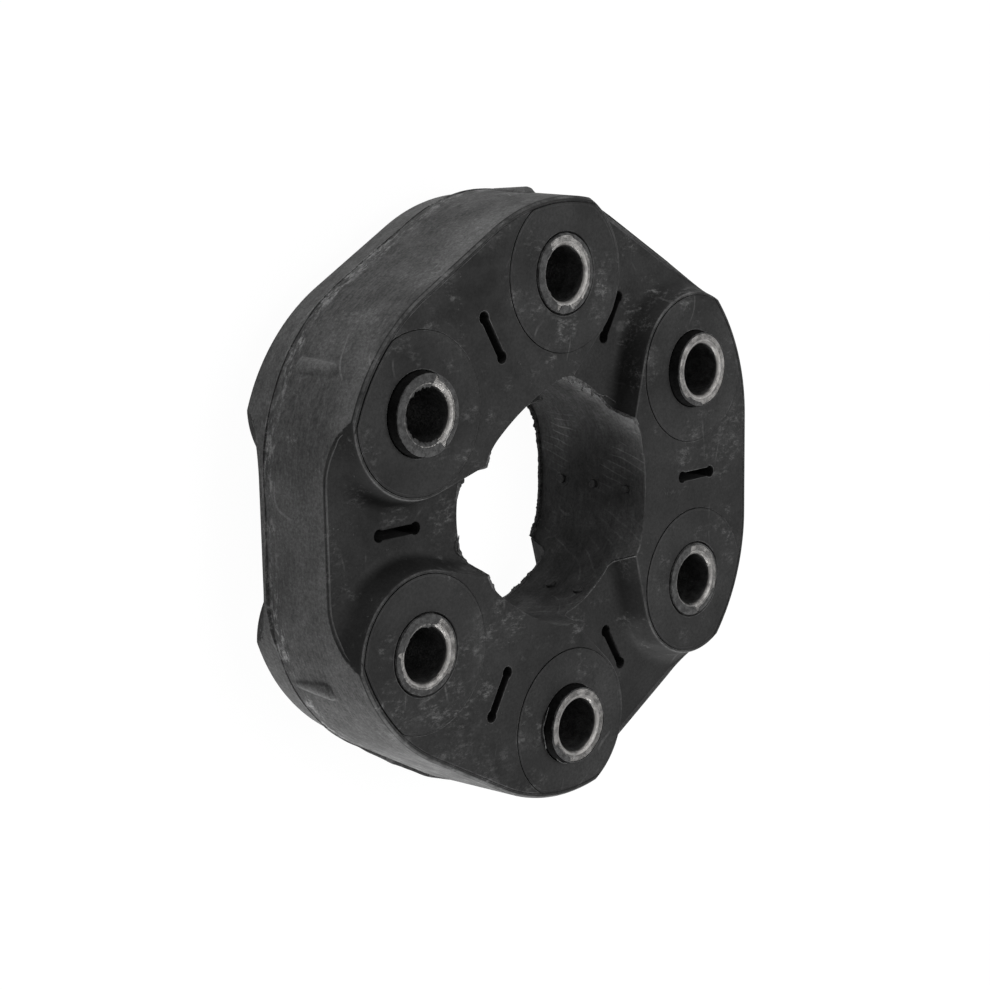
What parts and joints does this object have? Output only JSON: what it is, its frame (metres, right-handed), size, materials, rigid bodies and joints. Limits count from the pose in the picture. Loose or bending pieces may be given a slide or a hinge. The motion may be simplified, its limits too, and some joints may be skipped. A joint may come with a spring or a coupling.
{
  "type": "driveshaft flex disc",
  "caption": "Rubber driveshaft coupling disc with steel bolt sleeves on a circle, cord loops moulded inside, raised pads and an open centre.",
  "frame": {"origin": "on the disc's axis, midway between the two pad faces", "axes": "+Z along the axis, towards the face that sleeves B, D and F stand out of; +X through the middle of the thick link between sleeves B and C"},
  "size_m": [0.1284, 0.1366, 0.0386],
  "materials": {
    "rubber": "matte",
    "collar": "matte",
    "sleeve_steel": "satin",
    "cord": "matte"
  },
  "bodies": {
    "root": {"rubber_body": "rubber", "sleeve_a": "sleeve_steel", "sleeve_b": "sleeve_steel", "sleeve_c": "sleeve_steel", "sleeve_d": "sleeve_steel", "sleeve_e": "sleeve_steel", "sleeve_f": "sleeve_steel", "collar_front_a": "collar", "collar_front_b": "collar", "collar_front_c": "collar", "collar_front_d": "collar", "collar_front_e": "collar", "collar_front_f": "collar", "collar_rear_a": "collar", "collar_rear_b": "collar", "collar_rear_c": "collar", "collar_rear_d": "collar", "collar_rear_e": "collar", "collar_rear_f": "collar", "cord_loop_front_af": "cord", "cord_loop_front_cb": "cord", "cord_loop_front_ed": "cord", "cord_loop_rear_af": "cord", "cord_loop_rear_cb": "cord", "cord_loop_rear_ed": "cord", "cord_loop_middle_ba": "cord", "cord_loop_middle_dc": "cord", "cord_loop_middle_fe": "cord"}
  },
  "joints": []
}
